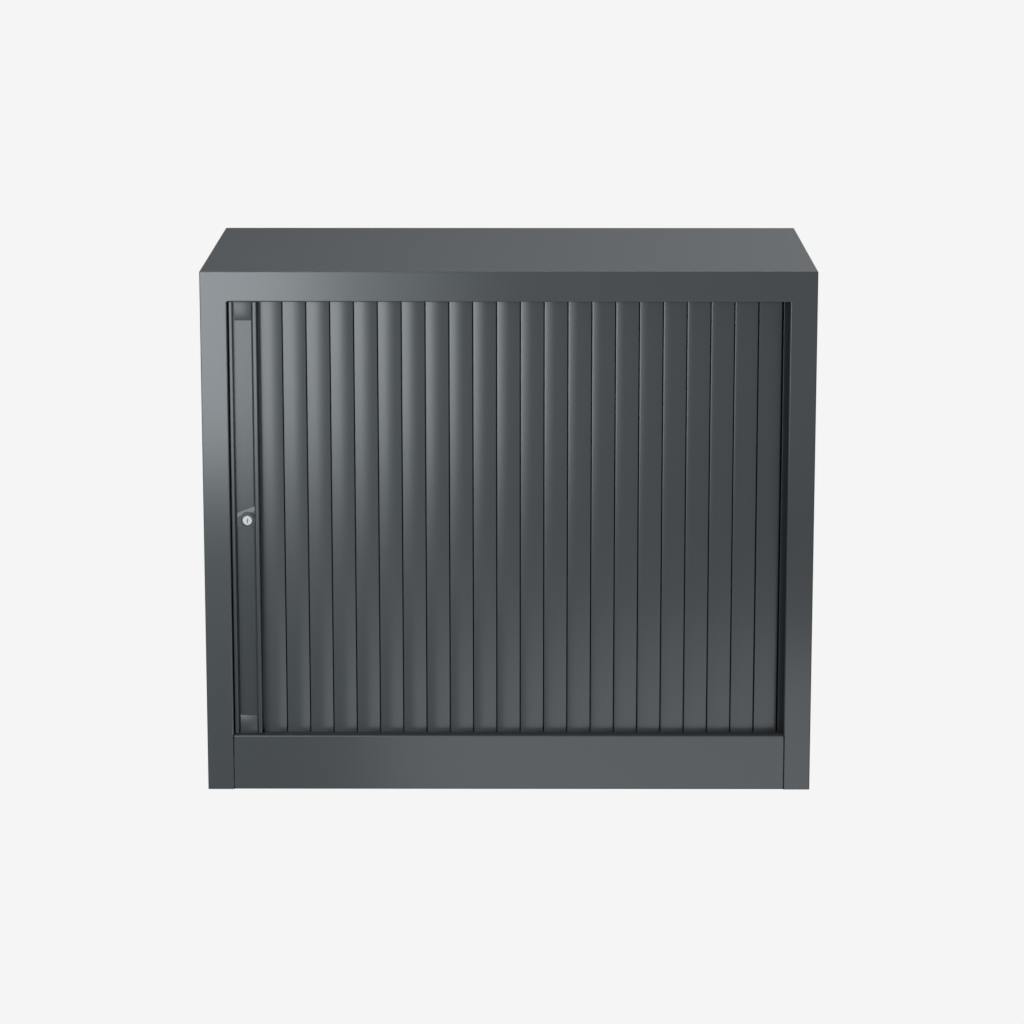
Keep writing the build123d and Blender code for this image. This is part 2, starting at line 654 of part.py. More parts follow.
# Shelf: one sheet with its front and rear edges folded down and back.
shelf_front = DECK_FRONT + 20
shelf_back = LINER_BACK_Y - 13
shelf_points = [
    (shelf_front + SHELF_TURN, SHELF_TOP - SHELF_LIP),
    (shelf_front, SHELF_TOP - SHELF_LIP),
    (shelf_front, SHELF_TOP),
    (shelf_back, SHELF_TOP),
    (shelf_back, SHELF_TOP - SHELF_LIP),
    (shelf_back - SHELF_TURN, SHELF_TOP - SHELF_LIP),
]
shelf_left = left_wall + UPRIGHT_DEPTH + SHELF_END_GAP
shelf_right = LINER_X - UPRIGHT_DEPTH - SHELF_END_GAP
with BuildPart() as shelf:
    with BuildSketch(Plane.YZ.offset(shelf_left)):
        add(folded_strip(shelf_points, BEND, SHEET, Side.RIGHT))
    extrude(amount=shelf_right - shelf_left)
save(shelf, "shelf")

# Shelf clips: a pressed tab under each shelf corner with a hook through a slot of the upright.
clip_top = SHELF_TOP - SHEET
with BuildPart() as shelf_clips:
    for wall_name, wall_x, inward, _ in wall_sides:
        face_x = wall_x + inward * (UPRIGHT_DEPTH + FIT)
        for middle_y in (-UPRIGHT_Y, UPRIGHT_Y):
            tab = Plane((face_x, middle_y, clip_top), x_dir=(0, -inward, 0), z_dir=(-inward, 0, 0))
            with BuildSketch(tab):
                with Locations((0, -CLIP_SIZE / 2)):
                    Rectangle(CLIP_SIZE, CLIP_SIZE)
            extrude(amount=-CLIP_SHEET)
            with BuildSketch(tab):
                with Locations((0, -CLIP_SHEET / 2)):
                    Rectangle(CLIP_SIZE, CLIP_SHEET)
            extrude(amount=-CLIP_SIZE)
            with BuildSketch(tab):
                with Locations((0, -SLOT_HEIGHT / 2 - 2.5)):
                    Rectangle(SLOT_WIDTH - 1, SLOT_HEIGHT / 2)
            extrude(amount=5)
save(shelf_clips, "shelf_clips")

# ---------------------------------------------------------------- levelling feet
# Weld nuts under the deck, plastic plugs in the adjuster holes above them.
with BuildPart() as foot_nuts:
    with BuildSketch(Plane.XY.offset(DECK_UNDERSIDE - NUT_HEIGHT)):
        with Locations(*foot_places):
            RegularPolygon(8.5, 6, major_radius=False)
            Circle(STUD_RADIUS + RUNNING_FIT, mode=Mode.SUBTRACT)
    extrude(amount=NUT_HEIGHT)
save(foot_nuts, "foot_nuts")

with BuildPart() as foot_plugs:
    with BuildSketch(Plane.XY.offset(PLINTH)):
        with Locations(*foot_places):
            Circle(ADJUSTER_HOLE + 2)
    extrude(amount=1.5)
    chamfer(foot_plugs.faces().group_by(Axis.Z)[-1].edges(), 0.6)
    with BuildSketch(Plane.XY.offset(PLINTH)):
        with Locations(*foot_places):
            Circle(ADJUSTER_HOLE - FIT / 2)
    extrude(amount=-SHEET)
save(foot_plugs, "foot_plugs")

# Each foot: a threaded stud with a screwdriver slot, standing in the socket of a moulded pad.
foot_names = {
    (-FOOT_X, -FOOT_Y): "front_left",
    (-FOOT_X, FOOT_Y): "rear_left",
    (FOOT_X, -FOOT_Y): "front_right",
    (FOOT_X, FOOT_Y): "rear_right",
}
for (foot_x, foot_y), foot_name in foot_names.items():
    with BuildPart() as foot_pad:
        with BuildSketch(Plane(origin=(foot_x, foot_y, 0), x_dir=(1, 0, 0), z_dir=(0, -1, 0))):
            with BuildLine():
                Polyline(
                    (0, 0),
                    (PAD_RADIUS - 1, 0),
                    (PAD_RADIUS, 1),
                    (PAD_RADIUS, 4),
                    (STUD_RADIUS + 4, 8),
                    (STUD_RADIUS + 4, SOCKET_TOP),
                    (STUD_RADIUS + RUNNING_FIT, SOCKET_TOP),
                    (STUD_RADIUS + RUNNING_FIT, SOCKET_FLOOR),
                    (0, SOCKET_FLOOR),
                    (0, 0),
                )
            make_face()
        revolve(axis=Axis((foot_x, foot_y, 0), (0, 0, 1)))
    save(foot_pad, f"foot_pad_{foot_name}")
    with BuildPart() as foot_stud:
        with BuildSketch(Plane.XY.offset(SOCKET_FLOOR + FIT)):
            with Locations((foot_x, foot_y)):
                Circle(STUD_RADIUS)
        extrude(amount=STUD_TOP - SOCKET_FLOOR - FIT)
        chamfer(foot_stud.faces().sort_by(Axis.Z)[-1].edges(), 0.8)
        with BuildSketch(Plane.XY.offset(STUD_TOP)):
            with Locations((foot_x, foot_y)):
                Rectangle(2 * STUD_RADIUS + 1, 1.6)
        extrude(amount=-2.5, mode=Mode.SUBTRACT)
    save(foot_stud, f"foot_stud_{foot_name}")
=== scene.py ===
import math

import bpy
from mathutils import Matrix, Vector


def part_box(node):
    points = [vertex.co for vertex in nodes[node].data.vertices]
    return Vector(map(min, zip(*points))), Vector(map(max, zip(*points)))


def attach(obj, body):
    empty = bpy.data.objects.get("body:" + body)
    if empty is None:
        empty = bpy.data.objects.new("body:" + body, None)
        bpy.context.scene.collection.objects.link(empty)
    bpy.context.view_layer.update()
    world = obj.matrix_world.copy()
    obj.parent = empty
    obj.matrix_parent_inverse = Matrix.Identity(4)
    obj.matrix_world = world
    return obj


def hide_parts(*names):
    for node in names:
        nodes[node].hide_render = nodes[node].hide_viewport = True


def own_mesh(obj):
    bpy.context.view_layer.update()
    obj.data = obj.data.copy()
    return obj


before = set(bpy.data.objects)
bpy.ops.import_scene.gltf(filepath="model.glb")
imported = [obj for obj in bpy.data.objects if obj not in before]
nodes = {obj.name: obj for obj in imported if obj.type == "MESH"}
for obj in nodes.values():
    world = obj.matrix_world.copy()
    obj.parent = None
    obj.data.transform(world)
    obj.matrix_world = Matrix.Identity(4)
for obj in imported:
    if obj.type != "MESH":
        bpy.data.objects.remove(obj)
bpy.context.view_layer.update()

scene = bpy.context.scene

# ---- Camera -------------------------------------------------------------------------------
# A long lens on a tall stand, a little to the right of the cupboard's middle, tilted down by
# twelve degrees onto its front and its top.
bpy.ops.object.camera_add(
    location=(0.0188, -4.8383, 1.3601),
    rotation=(math.radians(78.0), 0.0, math.radians(0.18)),
)
camera = bpy.context.object
camera.name = "studio_camera"
camera.data.lens = 126.9
camera.data.sensor_width = 36.0
camera.data.clip_end = 200.0
scene.camera = camera
scene.view_settings.view_transform = "Standard"

# ---- Studio -------------------------------------------------------------------------------
# A pale sweep of floor that looks bright but gives the cupboard no light of its own. Under the
# cupboard it has a painted shadow, and it is clear from below.
FLOOR_SIZE = 90.0
STAND_REACH = (0.398, 0.213)
FLOOR_PAINTED_SHADOW = (0.010, 0.010, 0.010, 1.0)
STUDIO_WHITE = (0.913, 0.913, 0.913, 1.0)


class Wire:
    """One socket of a finish. Arithmetic on it adds Math nodes; add() makes any other node."""

    def __init__(self, tree, output=None):
        self.tree = tree
        self.output = output

    def add(self, kind, settings, feeds, output=0):
        """A node of this kind, with its settings made first, then its sockets set or linked."""
        node = self.tree.nodes.new("ShaderNode" + kind)
        for name, value in settings.items():
            if name == "ramp":
                node.color_ramp.interpolation, stops = value
                bands = node.color_ramp.elements
                while len(bands) < len(stops):
                    bands.new(1.0)
                for band, (place, shade) in zip(bands, stops):
                    band.position = place
                    band.color = (shade, shade, shade, 1.0)
            else:
                setattr(node, name, value)
        for name, value in feeds.items():
            self.feed(node, name, value)
        return Wire(self.tree, node.outputs[output])

    def feed(self, node, name, value):
        if isinstance(value, Wire):
            self.tree.links.new(value.output, node.inputs[name])
        else:
            node.inputs[name].default_value = value

    def maths(self, operation, first, second):
        return self.add("Math", {"operation": operation}, {0: first, 1: second})

    def __add__(self, other):
        return self.maths("ADD", self, other)

    def __sub__(self, other):
        return self.maths("SUBTRACT", self, other)

    def __rsub__(self, other):
        return self.maths("SUBTRACT", other, self)

    def __mul__(self, other):
        return self.maths("MULTIPLY", self, other)

    def __pow__(self, other):
        return self.maths("POWER", self, other)

    def __gt__(self, other):
        return self.maths("GREATER_THAN", self, other)

    def __lt__(self, other):
        return self.maths("LESS_THAN", self, other)

    def __abs__(self):
        return self.add("Math", {"operation": "ABSOLUTE"}, {0: self})

    __radd__ = __add__
    __rmul__ = __mul__


def blend_of(mask, first, second):
    """The first colour where the mask is 0, the second where it is 1."""
    return mask.add("Mix", {"data_type": "RGBA"}, {0: mask, 6: first, 7: second}, 2)


def axes_of(place):
    """The x, y and z of a place on the surface."""
    split = place.add("SeparateXYZ", {}, {"Vector": place})
    return [Wire(place.tree, axis) for axis in split.output.node.outputs]


bpy.ops.mesh.primitive_plane_add(size=FLOOR_SIZE, location=(0.0, 0.0, 0.0))
floor = bpy.context.object
floor.name = "studio_floor"
floor_paint = bpy.data.materials.new("studio_floor_paint")
floor_paint.use_nodes = True
floor_nodes = floor_paint.node_tree.nodes
floor_nodes.remove(floor_nodes["Principled BSDF"])
wires = Wire(floor_paint.node_tree)
x, y, _ = axes_of(wires.add("TexCoord", {}, {}, "Object"))
beside = wires.maths("MAXIMUM", abs(x) > STAND_REACH[0], abs(y) > STAND_REACH[1])
# Painted shadow: the floor's glow is near-black under the cupboard's footprint.
glow = wires.add("Emission", {}, {"Color": blend_of(beside, FLOOR_PAINTED_SHADOW, STUDIO_WHITE)})
clear = wires.add("BsdfTransparent", {}, {})
from_below = wires.add("NewGeometry", {}, {}, "Backfacing")
seen = wires.add("MixShader", {}, {0: from_below, 1: glow, 2: clear})
wires.feed(floor_nodes["Material Output"], "Surface", seen)
floor.data.materials.append(floor_paint)
floor.visible_glossy = False
floor.visible_diffuse = False
floor.visible_shadow = False

# Grey room light for the surfaces, a little stronger from the right, and white for the eye.
ROOM_LEFT = (0.138, 0.144, 0.150, 1.0)
ROOM_RIGHT = (0.300, 0.313, 0.324, 1.0)
ROOM_BLEND = 0.09

room = bpy.data.worlds.new("studio_room")
room.use_nodes = True
scene.world = room
wires = Wire(room.node_tree)
x = axes_of(wires.add("TexCoord", {}, {}, "Generated"))[0]
rightward = wires.add(
    "MapRange", {}, {"Value": x, "From Min": -ROOM_BLEND, "From Max": ROOM_BLEND}
)
grey = wires.add("Background", {}, {"Color": blend_of(rightward, ROOM_LEFT, ROOM_RIGHT)})
white = wires.add("Background", {}, {"Color": STUDIO_WHITE})
to_the_eye = wires.add("LightPath", {}, {}, "Is Camera Ray")
seen = wires.add("MixShader", {}, {0: to_the_eye, 1: grey, 2: white})
wires.feed(room.node_tree.nodes["World Output"], "Surface", seen)

# Cool white softboxes: a key close on the left with a dimmer edge, faint and low fills on the
# right, a broad one overhead, one high and one low behind, and one high up at each side. Each
# has its place, its turn in degrees, its size and its watts.
COOL_WHITE = (0.93, 1.0, 1.03)
softboxes = {
    "key_softbox": ((-1.08, -1.60, 0.69), (90.0, 0.0, 0.0), (1.50, 1.08), 31.5),
    "key_edge_softbox": ((-0.22, -1.60, 0.69), (90.0, 0.0, 0.0), (0.22, 1.08), 1.2),
    "fill_softbox": ((0.62, -1.60, 0.68), (90.0, 0.0, 0.0), (1.10, 1.10), 1.1),
    "low_softbox": ((0.50, -1.50, -0.52), (90.0, 0.0, 0.0), (1.45, 0.78), 5.2),
    "overhead_softbox": ((0.20, -0.60, 2.80), (0.0, 0.0, 0.0), (2.60, 2.20), 11.0),
    "rear_softbox": ((0.0, 3.00, 2.80), (-55.0, 0.0, 0.0), (3.00, 1.20), 30.0),
    "low_rear_softbox": ((-0.30, 2.20, -0.05), (-90.0, 0.0, 0.0), (1.60, 0.70), 14.0),
    "left_softbox": ((-2.40, 0.60, 2.00), (0.0, -55.0, 0.0), (1.40, 2.00), 12.0),
    "right_softbox": ((2.40, 0.60, 2.00), (0.0, 55.0, 0.0), (1.40, 2.00), 16.0),
}
for name, (place, turn, size, watts) in softboxes.items():
    lamp = bpy.data.lights.new(name, "AREA")
    lamp.shape = "RECTANGLE"
    lamp.size, lamp.size_y = size
    lamp.energy = watts
    lamp.color = COOL_WHITE
    softbox = bpy.data.objects.new(name, lamp)
    softbox.location = place
    softbox.rotation_euler = [math.radians(angle) for angle in turn]
    softbox.visible_camera = False
    scene.collection.objects.link(softbox)

# ---- Folded sheet steel -------------------------------------------------------------------
# Top, back, rail, trays, liners, shelf and uprights: 1 mm steel, folded and spot welded, with an
# anthracite powder coat. The coat has a fine orange-peel surface.
ANTHRACITE = (0.051, 0.055, 0.058, 1.0)
SHEET_GLOSS = 0.165


def new_finish(name):
    """An empty material, its first wire, the place on the surface, and its shader."""
    finish = bpy.data.materials.new(name)
    finish.use_nodes = True
    wires = Wire(finish.node_tree)
    place = wires.add("TexCoord", {}, {}, "Object")
    return finish, wires, place, finish.node_tree.nodes["Principled BSDF"]


def give_looks(wires, shader, **values):
    """Sets or links the shader's sockets; underscores stand for the spaces in their names."""
    for name, value in values.items():
        wires.feed(shader, name.replace("_", " "), value)


def paint(pieces, finish):
    """Gives the finish to these nodes."""
    for name in pieces:
        nodes[name].material_slots[0].material = finish


def sprayed_coat(name, colour, gloss, marks=None):
    """Powder coat: orange peel a few millimetres across over a much finer grain. Marks, if there
    are any, change its shade, height and dullness by place."""
    finish, wires, place, shader = new_finish(name)
    peel = wires.add("TexNoise", {}, {"Vector": place, "Scale": 420.0, "Detail": 2.0})
    grain = wires.add("TexNoise", {}, {"Vector": place, "Scale": 2600.0, "Detail": 1.0})
    cloud = wires.add("TexNoise", {}, {"Vector": place, "Scale": 9.0, "Detail": 3.0})
    shade = blend_of(cloud, colour, [channel * 1.07 for channel in colour[:3]] + [1.0])
    height = peel * 0.7 + grain * 0.3
    dullness = cloud * 0.04 + grain * 0.03 + gloss
    if marks:
        shade, height, dullness = marks(place, shade, height, dullness)
    relief = wires.add("Bump", {}, {"Height": height, "Strength": 0.10, "Distance": 0.0002})
    give_looks(wires, shader, Base_Color=shade, Roughness=dullness, Normal=relief, IOR=1.5)
    return finish


paint(
    [
        "top_panel", "back_panel", "rear_rail", "base_panel", "ceiling_panel", "curtain_liner",
        "back_liner", "shelf", "upright_front_left", "upright_front_right", "upright_rear_left",
        "upright_rear_right",
    ],
    sprayed_coat("anthracite_powder_coat", ANTHRACITE, SHEET_GLOSS),
)

# ---- Side panels and plinth ---------------------------------------------------------------
# The same coated steel. The back is spot welded to the side panels' rear folds, and the plinth
# stands between their front stiles. Painted shade darkens the seams beside it and its ledge.
WELD_PITCH = 0.08
WELD_X = 0.390
WELD_FLOOR = 0.0022
WELD_RIM = 0.0036
WELD_DEPTH = 9.0  # in heights of the orange peel
BACK_FACE_Y = 0.2148
PLINTH_TOP = 0.074
PLINTH_FOLD = 0.0015
SKIM = 0.0002
SEAM_X = (0.3643, 0.3664)
SEAM_Y = -0.2040
SEAM_TOP = 0.0745
LEDGE_Y = (-0.2146, -0.1985)
LEDGE_SHADE_STRENGTH = 0.45
LEDGE_DULLNESS = 0.6
SEAM_DULLNESS = 0.2
FOLD_DULLNESS = 0.15
# Painted shade: near-black for the shaded seams, ledge and handle gutter.
PAINTED_SHADE = (0.006, 0.006, 0.007, 1.0)


def welds_and_painted_shade(place, shade, height, dullness):
    """Shallow dimples down the rear folds, and dull painted shade in the plinth's seams and on its
    ledge.
    """
    x, y, z = axes_of(place)
    from_middle = abs(x)
    across = from_middle - WELD_X
    along = place.maths("PINGPONG", z, WELD_PITCH / 2)
    reach = (across * across + along * along) ** 0.5
    dimple = place.add(
        "MapRange", {"interpolation_type": "SMOOTHSTEP"},
        {"Value": reach, "From Min": WELD_RIM, "From Max": WELD_FLOOR},
    ) * (y > BACK_FACE_Y)
    seam = (from_middle > SEAM_X[0]) * (from_middle < SEAM_X[1])
    seam = seam * (y < SEAM_Y) * (z < SEAM_TOP)
    ledge = (y > LEDGE_Y[0]) * (y < LEDGE_Y[1]) * (from_middle < SEAM_X[1])
    ledge = ledge * (z > PLINTH_TOP - SKIM) * (z < PLINTH_TOP + SKIM)
    fold = (y < LEDGE_Y[0]) * (from_middle < SEAM_X[0])
    fold = fold * (z > PLINTH_TOP - PLINTH_FOLD) * (z < PLINTH_TOP + SKIM)
    # Painted shade: the seams, and the ledge less strongly, are blended towards near-black.
    painted_shade_mask = place.maths("MAXIMUM", seam, ledge * LEDGE_SHADE_STRENGTH)
    dullness = dullness + ledge * LEDGE_DULLNESS + seam * SEAM_DULLNESS + fold * FOLD_DULLNESS
    return blend_of(painted_shade_mask, shade, PAINTED_SHADE), height - dimple * WELD_DEPTH, dullness


paint(
    ["side_panel_left", "side_panel_right", "plinth"],
    sprayed_coat("anthracite_welded_coat", ANTHRACITE, SHEET_GLOSS, welds_and_painted_shade),
)

# ---- Guide tracks -------------------------------------------------------------------------
# Dark low-friction plastic channels, extruded and bent round the corners, let into the base and
# the ceiling.


def moulded(name, colour, gloss, grain_size, marks=None):
    """Moulded or extruded plastic with a fine even grain. Marks, if there are any, change its
    colour by place."""
    finish, wires, place, shader = new_finish(name)
    grain = wires.add("TexNoise", {}, {"Vector": place, "Scale": grain_size, "Detail": 2.0})
    relief = wires.add("Bump", {}, {"Height": grain, "Strength": 0.15, "Distance": 0.0001})
    dullness = grain * 0.06 + gloss
    shade = marks(place, colour) if marks else colour
    give_looks(wires, shader, Base_Color=shade, Roughness=dullness, Normal=relief, IOR=1.48)
    return finish


paint(
    ["upper_track", "lower_track"],
    moulded("dark_track_plastic", (0.016, 0.018, 0.020, 1.0), 0.55, 1800.0),
)

# ---- Curtain slats ------------------------------------------------------------------------
# Hollow extrusions of anthracite plastic, each hooked on the next one's bead. The master is the
# first slat with its front skin spun as one smooth arc; the others are copies along the track.
SLATS = 24
SLAT_PITCH = 0.031
SKIN_EDGES = (0.0009, 0.0303)
SKIN_EDGE_DEPTH = 0.0035
SKIN = 0.0011
SKIN_CORNER = 0.0002
CROWN_RISE = 0.0012
CROWN_STEPS = 14
FIRST_HINGE = Vector((-0.326, -0.1905, 0.0))
HAIR = 0.00001


def extruded_plastic(name, colour, gloss, sheen_index):
    """Extruded plastic: faint lines that run the length of the slat."""
    finish, wires, place, shader = new_finish(name)
    drawn = wires.add("Mapping", {}, {"Vector": place, "Scale": (1.0, 1.0, 0.012)})
    lines = wires.add("TexNoise", {}, {"Vector": drawn, "Scale": 900.0, "Detail": 2.0})
    cloud = wires.add("TexNoise", {}, {"Vector": place, "Scale": 14.0, "Detail": 2.0})
    relief = wires.add("Bump", {}, {"Height": lines, "Strength": 0.10, "Distance": 0.0001})
    dullness = lines * 0.04 + cloud * 0.03 + gloss
    give_looks(
        wires, shader, Base_Color=colour, Roughness=dullness, Normal=relief, IOR=sheen_index,
    )
    return finish


def copy_of(source, name):
    """A new object with its own copy of another's mesh, selected and active."""
    bpy.ops.object.select_all(action="DESELECT")
    piece = bpy.data.objects.new(name, source.data.copy())
    scene.collection.objects.link(piece)
    piece.select_set(True)
    bpy.context.view_layer.objects.active = piece
    return piece


def edit(piece, pick=lambda part: True, kind="VERT"):
    """Opens the piece in edit mode with only the vertices, edges or faces that pick names."""
    bpy.context.view_layer.objects.active = piece
    bpy.ops.object.mode_set(mode="EDIT")
    bpy.ops.mesh.select_mode(type=kind)
    bpy.ops.mesh.select_all(action="DESELECT")
    bpy.ops.object.mode_set(mode="OBJECT")
    parts = {"VERT": piece.data.vertices, "EDGE": piece.data.edges, "FACE": piece.data.polygons}
    for part in parts[kind]:
        part.select = pick(part)
    bpy.ops.object.mode_set(mode="EDIT")


def done():
    bpy.ops.object.mode_set(mode="OBJECT")


first_slat = copy_of(nodes["slat_01"], "curtain_slat_01")
low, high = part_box("slat_01")
edit(first_slat)
bpy.ops.mesh.remove_doubles(threshold=HAIR)
done()
bpy.ops.mesh.customdata_custom_splitnormals_clear()
skin_y = FIRST_HINGE.y - SKIN_EDGE_DEPTH
left_x = FIRST_HINGE.x + SKIN_EDGES[0]
right_x = FIRST_HINGE.x + SKIN_EDGES[1]

# The ends and the faceted skin come off, and the skin is spun again from its left edge.
edit(
    first_slat,
    lambda face: abs(face.normal.z) > 0.9 or (face.normal.y < -0.9 and face.center.y < skin_y),
    "FACE",
)
bpy.ops.mesh.delete(type="FACE")
done()


def skin_edge_at(xs):
    """Picks the long edges that stand at the skin's depth and at one of these places."""
    def stands_there(edge):
        ends = [first_slat.data.vertices[index].co for index in edge.vertices]
        return all(
            abs(end.y - skin_y) < HAIR and min(abs(end.x - x) for x in xs) < HAIR for end in ends
        ) and abs(ends[0].z - ends[1].z) > 0.1
    return stands_there


half_skin = (right_x - left_x) / 2
crown_radius = (half_skin ** 2 + CROWN_RISE ** 2) / (2 * CROWN_RISE)
edit(first_slat, skin_edge_at([left_x]), "EDGE")
bpy.ops.mesh.spin(
    steps=CROWN_STEPS, angle=-2 * math.asin(half_skin / crown_radius), axis=(0, 0, 1),
    center=(left_x + half_skin, skin_y - CROWN_RISE + crown_radius, 0.0),
)
bpy.ops.mesh.select_all(action="SELECT")
bpy.ops.mesh.remove_doubles(threshold=2 * HAIR)
done()
for end in (low.z, high.z):
    edit(first_slat, lambda corner: abs(corner.co.z - end) < HAIR)
    bpy.ops.mesh.select_mode(type="EDGE")
    bpy.ops.mesh.fill(use_beauty=True)
    done()
edit(first_slat)
bpy.ops.mesh.normals_make_consistent(inside=False)
done()
edit(first_slat, skin_edge_at([left_x, right_x]), "EDGE")
bpy.ops.mesh.bevel(offset=SKIN_CORNER, segments=2)
done()
bpy.ops.object.shade_smooth_by_angle(angle=math.radians(32.0))

# Behind the skin the hinge is painted near-black, as painted shade in the slits between slats.
first_slat.material_slots[0].material = extruded_plastic(
    "anthracite_slat_plastic", (0.046, 0.050, 0.053, 1.0), 0.215, 1.5
)
first_slat.data.materials.append(
    extruded_plastic("hinge_plastic_painted_shade", (0.004, 0.004, 0.005, 1.0), 0.60, 1.12)
)
edit(first_slat, lambda face: face.center.y > skin_y + SKIN - 10 * HAIR, "FACE")
first_slat.active_material_index = 1
bpy.ops.object.material_slot_assign()
done()

# Along the track: straight to the corner, a quarter round it, then down the side.
CORNER_RADIUS = 0.05
CURTAIN_SIDE_X = 0.3905
corner_x = CURTAIN_SIDE_X - CORNER_RADIUS
corner_y = FIRST_HINGE.y + CORNER_RADIUS


def track_point(run):
    """The place that lies this far along the track from the first hinge."""
    straight = corner_x - FIRST_HINGE.x
    if run <= straight:
        return FIRST_HINGE + Vector((run, 0.0, 0.0))
    turn = min((run - straight) / CORNER_RADIUS, math.pi / 2)
    past = run - straight - turn * CORNER_RADIUS
    return Vector((
        corner_x + CORNER_RADIUS * math.sin(turn),
        corner_y - CORNER_RADIUS * math.cos(turn) + past,
        0.0,
    ))


def next_hinge(run):
    """The hinge whose straight distance from this one is one pitch, found by halving."""
    near, far = run, run + 1.3 * SLAT_PITCH
    for _ in range(40):
        middle = (near + far) / 2
        if (track_point(middle) - track_point(run)).length < SLAT_PITCH:
            near = middle
        else:
            far = middle
    return near


# When the door is open the slats behind the first one lie gathered behind the right stile.
run = 0.0
for number in range(1, SLATS + 1):
    hinge = track_point(run)
    run = next_hinge(run)
    slat = first_slat
    if number > 1:
        slat = copy_of(first_slat, f"curtain_slat_{number:02d}")
        chord = track_point(run) - hinge
        turned = Matrix.Rotation(math.atan2(chord.y, chord.x), 4, "Z")
        slat.matrix_world = Matrix.Translation(hinge) @ turned @ Matrix.Translation(-FIRST_HINGE)
        bpy.ops.object.transform_apply(location=True, rotation=True, scale=True)
    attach(slat, "door")
    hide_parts(f"slat_{number:02d}")
    if number > 1:
        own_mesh(slat)

# ---- Handle profile -----------------------------------------------------------------------
# An aluminium extrusion in the carcass colour, with two ridges and a finger channel. Painted
# shade darkens the narrow gutter beside the left ridge.
GUTTER_X = (-0.3588, -0.3563)
GUTTER_Y = -0.2022
GUTTER_SHADE_STRENGTH = 0.85


def gutter_painted_shade(place, shade, height, dullness):
    """Painted shade in the gutter, which dims the coat and leaves its relief alone."""
    x, y, _ = axes_of(place)
    painted_shade_mask = (x > GUTTER_X[0]) * (x < GUTTER_X[1]) * (y > GUTTER_Y)
    # Painted shade: the gutter's colour is blended towards near-black.
    return blend_of(painted_shade_mask * GUTTER_SHADE_STRENGTH, shade, PAINTED_SHADE), height, dullness


paint(
    ["handle_profile"],
    sprayed_coat("anthracite_handle_coat", (0.036, 0.040, 0.042, 1.0), 0.21, gutter_painted_shade),
)

# ---- Mouldings ----------------------------------------------------------------------------
# End caps, foot pads and plugs: dark grey plastic with a spark-eroded grain.
SPARK_GRAIN = 2400.0
paint(
    ["handle_cap_lower", "handle_cap_upper", "foot_plugs"]
    + [name for name in nodes if name.startswith("foot_pad")],
    moulded("moulded_dark_plastic", (0.034, 0.040, 0.043, 1.0), 0.34, SPARK_GRAIN),
)

# ---- Lock housing -------------------------------------------------------------------------
# The same plastic round the lock: a painted highlight makes the collar's rim and the plug's sleeve
# pale, and painted shade makes the recess between them and the parting line outside near-black.
LOCK_CENTRE = (-0.343, 0.0, 0.3645)
PALE_HIGHLIGHT = (0.090, 0.099, 0.105, 1.0)
HOUSING_PAINTED_SHADE = (0.006, 0.007, 0.008, 1.0)
RING_REACH = 0.02
# Painted rings by radius: pale for painted highlight, near-black for painted shade.
RING_TONES = [(0.0, 1.0), (0.00756, 0.0), (0.0088, 1.0), (0.0096, 0.0), (0.0105, 0.45)]


def from_lock_centre(place):
    """Distance from the lock's middle, seen from the front."""
    centred = place.add("VectorMath", {"operation": "SUBTRACT"}, {0: place, 1: LOCK_CENTRE})
    across = place.add("VectorMath", {"operation": "MULTIPLY"}, {0: centred, 1: (1.0, 0.0, 1.0)})
    return place.add("VectorMath", {"operation": "LENGTH"}, {0: across}, "Value")


def highlight_and_shade_rings(place, pale_tone):
    """Painted highlight and painted shade as rings round the lock; each starts at its radius, with
    its paleness.
    """
    stops = [(radius / RING_REACH, paleness) for radius, paleness in RING_TONES]
    ring_tone = place.add(
        "ValToRGB", {"ramp": ("CONSTANT", stops)}, {0: from_lock_centre(place) * (1 / RING_REACH)},
    )
    return blend_of(ring_tone, HOUSING_PAINTED_SHADE, pale_tone)


paint(["lock_housing"], moulded("housing_plastic_painted_rings", PALE_HIGHLIGHT, 0.24, SPARK_GRAIN, highlight_and_shade_rings))

# ---- Lock plug ----------------------------------------------------------------------------
# Turned and satin nickel plated, with fine rings, 0.4 mm apart, left by the tool on its face.
NICKEL = (0.34, 0.345, 0.35, 1.0)
RING_WAVE = 16000.0

nickel_plate, wires, place, shader = new_finish("satin_nickel_plate")
rings = wires.add("Math", {"operation": "SINE"}, {0: from_lock_centre(place) * RING_WAVE})
relief = wires.add("Bump", {}, {"Height": rings, "Strength": 0.12, "Distance": 0.00005})
dullness = rings * 0.03 + 0.42
give_looks(wires, shader, Base_Color=NICKEL, Metallic=1.0, Roughness=dullness, Normal=relief)
paint(["lock_plug"], nickel_plate)

# ---- Zinc plated fixings ------------------------------------------------------------------
# Cam, screw, keep, shelf clips and weld nuts: pressed and turned steel, bright zinc plated, with
# a faint spangle.
zinc_plate, wires, place, shader = new_finish("bright_zinc_plate")
spangle = wires.add("TexVoronoi", {"feature": "F1"}, {"Vector": place, "Scale": 700.0}, "Color")
spread = wires.add("SeparateColor", {}, {"Color": spangle}, 0)
shade = blend_of(spread, (0.50, 0.52, 0.54, 1.0), (0.62, 0.63, 0.64, 1.0))
give_looks(wires, shader, Base_Color=shade, Metallic=1.0, Roughness=spread * 0.10 + 0.28)
paint(["lock_cam", "cam_screw", "lock_keep", "shelf_clips", "foot_nuts"], zinc_plate)

